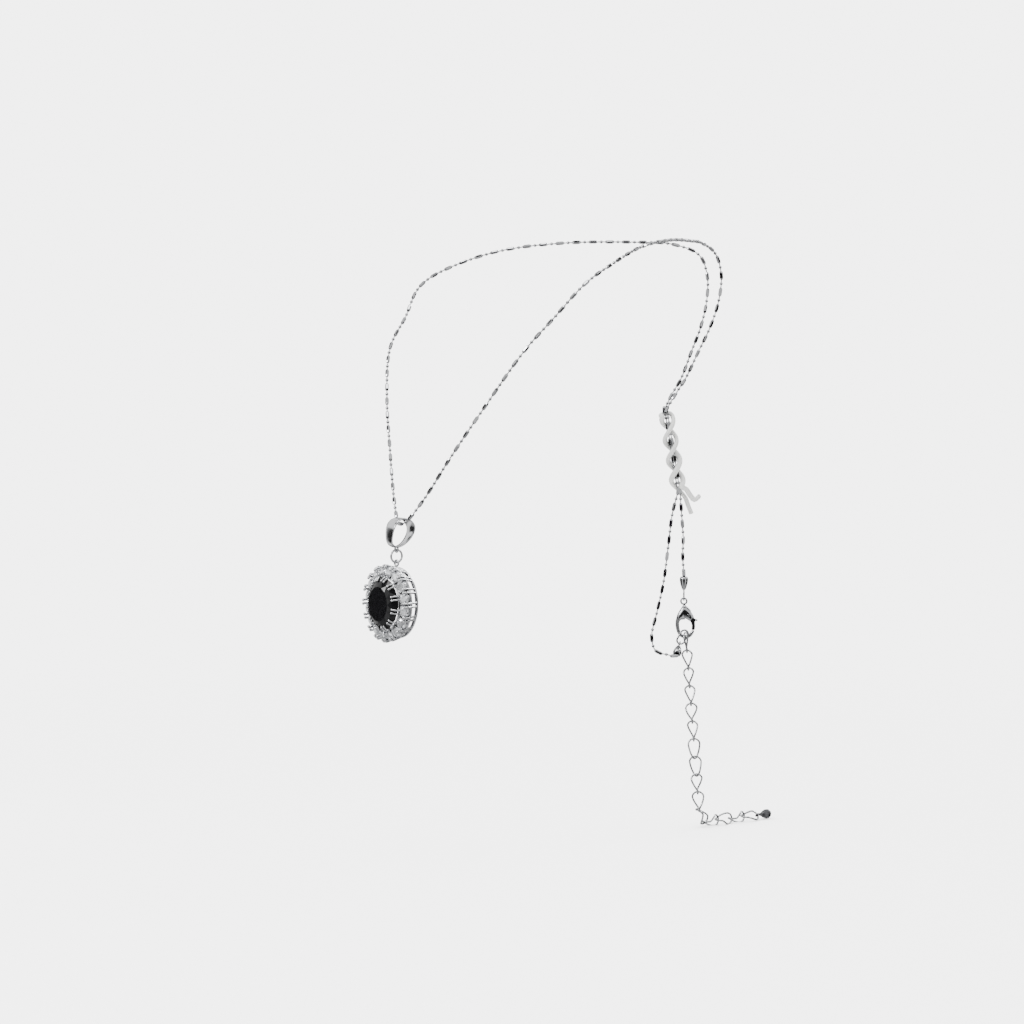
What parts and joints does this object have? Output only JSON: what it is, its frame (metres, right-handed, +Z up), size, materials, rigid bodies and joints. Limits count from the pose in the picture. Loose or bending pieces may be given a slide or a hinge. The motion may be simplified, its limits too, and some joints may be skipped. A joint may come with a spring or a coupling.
{
  "type": "pendant necklace",
  "caption": "Oval cluster pendant on a swinging bail, bar-and-ball chain, lobster clasp with sprung trigger and a link extender with drop charm.",
  "frame": {"origin": "the nape: the middle of the two strands where the chain bears on the top of the neck's back", "axes": "+Z up, the wearer faces -Y, the necklace drawn as it hangs when worn; the two sides mirror each other about X = 0 down to the tie"},
  "size_m": [0.0688, 0.1151, 0.142],
  "materials": {
    "rhodium_plate": "polished",
    "chain_silver": "polished",
    "tip_silver": "polished",
    "link_silver": "polished",
    "spring_steel": "drawn wire",
    "dark_charm": "polished, ribbed",
    "black_stone": "polished, faceted",
    "clear_stone": "polished, faceted",
    "tie_plastic": "smooth coating"
  },
  "bodies": {
    "root": {"bead_chain": "chain_silver", "twist_tie": "tie_plastic", "bead_tip_left": "tip_silver", "bead_tip_right": "tip_silver", "crimp_beads": "tip_silver"},
    "bail": {"bail": "rhodium_plate"},
    "jump_ring": {"jump_ring": "rhodium_plate"},
    "pendant": {"halo_gallery": "rhodium_plate", "centre_head": "rhodium_plate", "centre_stone": "black_stone", "halo_stones": "clear_stone"},
    "clasp": {"clasp_body": "rhodium_plate", "trigger_pin": "rhodium_plate", "trigger_spring": "spring_steel"},
    "trigger": {"clasp_trigger": "rhodium_plate"},
    "end_link": {"end_link": "link_silver"},
    "link_01": {"extender_link_01": "link_silver"},
    "link_02": {"extender_link_02": "link_silver"},
    "link_03": {"extender_link_03": "link_silver"},
    "link_04": {"extender_link_04": "link_silver"},
    "link_05": {"extender_link_05": "link_silver"},
    "link_06": {"extender_link_06": "link_silver"},
    "link_07": {"extender_link_07": "link_silver"},
    "link_08": {"extender_link_08": "link_silver"},
    "link_09": {"extender_link_09": "link_silver"},
    "link_10": {"extender_link_10": "link_silver"},
    "link_11": {"extender_link_11": "link_silver"},
    "link_12": {"extender_link_12": "link_silver"},
    "link_13": {"extender_link_13": "link_silver"},
    "link_14": {"extender_link_14": "link_silver"},
    "link_15": {"extender_link_15": "link_silver"},
    "charm": {"drop_charm": "dark_charm"}
  },
  "joints": [
    {"name": "bail_swing", "type": "hinge", "parent": "root", "child": "bail", "pos_m": [0, -0.086, -0.0629], "axis": [1, 0, 0], "range_deg": [-40, 80]},
    {"name": "ring_swing", "type": "hinge", "parent": "bail", "child": "jump_ring", "pos_m": [0, -0.0871, -0.06875], "axis": [0, 1, 0], "range_deg": [-20, 20]},
    {"name": "pendant_swing", "type": "hinge", "parent": "jump_ring", "child": "pendant", "pos_m": [0, -0.0871, -0.07114], "axis": [1, 0, 0], "range_deg": [-15, 15]},
    {"name": "clasp_swing", "type": "hinge", "parent": "root", "child": "clasp", "pos_m": [-0.00024, -0.00526, -0.08425], "axis": [-0.829, 0.5592, 0], "range_deg": [-3, 3]},
    {"name": "trigger_turn", "type": "hinge", "parent": "clasp", "child": "trigger", "pos_m": [0.00039, -0.00432, -0.08795], "axis": [-0.829, 0.5592, 0], "range_deg": [0, 22], "stiffness_Nm_per_rad": 0.002, "springref_deg": -17.19},
    {"name": "end_link_swing", "type": "hinge", "parent": "root", "child": "end_link", "pos_m": [-0.00042, -0.00633, -0.09451], "axis": [-0.829, 0.5592, 0], "range_deg": [-3, 3]},
    {"name": "link_01_swing", "type": "hinge", "parent": "end_link", "child": "link_01", "pos_m": [0, -0.0049, -0.09209], "axis": [-0.829, 0.5592, 0], "range_deg": [-6, 6]},
    {"name": "link_02_swing", "type": "hinge", "parent": "link_01", "child": "link_02", "pos_m": [0.00021, -0.00459, -0.09688], "axis": [-0.515, 0.8572, 0], "range_deg": [-15, 15]},
    {"name": "link_03_swing", "type": "hinge", "parent": "link_02", "child": "link_03", "pos_m": [0.0004, -0.00431, -0.10118], "axis": [0.9336, 0.3584, 0], "range_deg": [-15, 15]},
    {"name": "link_04_swing", "type": "hinge", "parent": "link_03", "child": "link_04", "pos_m": [0.00059, -0.00403, -0.10547], "axis": [-0.1908, 0.9816, 0], "range_deg": [-15, 15]},
    {"name": "link_05_swing", "type": "hinge", "parent": "link_04", "child": "link_05", "pos_m": [0.00078, -0.00375, -0.10977], "axis": [0.9816, 0.1908, 0], "range_deg": [-15, 15]},
    {"name": "link_06_swing", "type": "hinge", "parent": "link_05", "child": "link_06", "pos_m": [0.00097, -0.00347, -0.11407], "axis": [-0.1908, 0.9816, 0], "range_deg": [-15, 15]},
    {"name": "link_07_swing", "type": "hinge", "parent": "link_06", "child": "link_07", "pos_m": [0.00116, -0.00319, -0.11836], "axis": [0.9816, 0.1908, 0], "range_deg": [-15, 15]},
    {"name": "link_08_swing", "type": "hinge", "parent": "link_07", "child": "link_08", "pos_m": [0.00135, -0.00291, -0.12266], "axis": [-0.1908, 0.9816, 0], "range_deg": [-15, 15]},
    {"name": "link_09_swing", "type": "hinge", "parent": "link_08", "child": "link_09", "pos_m": [0.00153, -0.00263, -0.12696], "axis": [0.9816, 0.1908, 0], "range_deg": [-15, 15]},
    {"name": "link_10_swing", "type": "hinge", "parent": "link_09", "child": "link_10", "pos_m": [0.00172, -0.00234, -0.13125], "axis": [-0.4067, 0.9135, 0], "range_deg": [-15, 15]},
    {"name": "link_11_swing", "type": "hinge", "parent": "link_10", "child": "link_11", "pos_m": [0.00191, -0.00206, -0.13555], "axis": [0.788, 0.6157, 0], "range_deg": [-12, 12]},
    {"name": "link_12_swing", "type": "hinge", "parent": "link_11", "child": "link_12", "pos_m": [0.00083, 0.0005, -0.13846], "axis": [0, 0, 1], "range_deg": [-12, 12]},
    {"name": "link_13_swing", "type": "hinge", "parent": "link_12", "child": "link_13", "pos_m": [0.0003, 0.00477, -0.13844], "axis": [0, 0, 1], "range_deg": [-12, 12]},
    {"name": "link_14_swing", "type": "hinge", "parent": "link_13", "child": "link_14", "pos_m": [0.0001, 0.00906, -0.13844], "axis": [0, 0, 1], "range_deg": [-12, 12]},
    {"name": "link_15_swing", "type": "hinge", "parent": "link_14", "child": "link_15", "pos_m": [-0.00045, 0.01331, -0.13844], "axis": [0, 0, 1], "range_deg": [-12, 12]},
    {"name": "charm_swing", "type": "hinge", "parent": "link_15", "child": "charm", "pos_m": [-0.00066, 0.01763, -0.13844], "axis": [0, 0, 1], "range_deg": [-20, 20]}
  ]
}
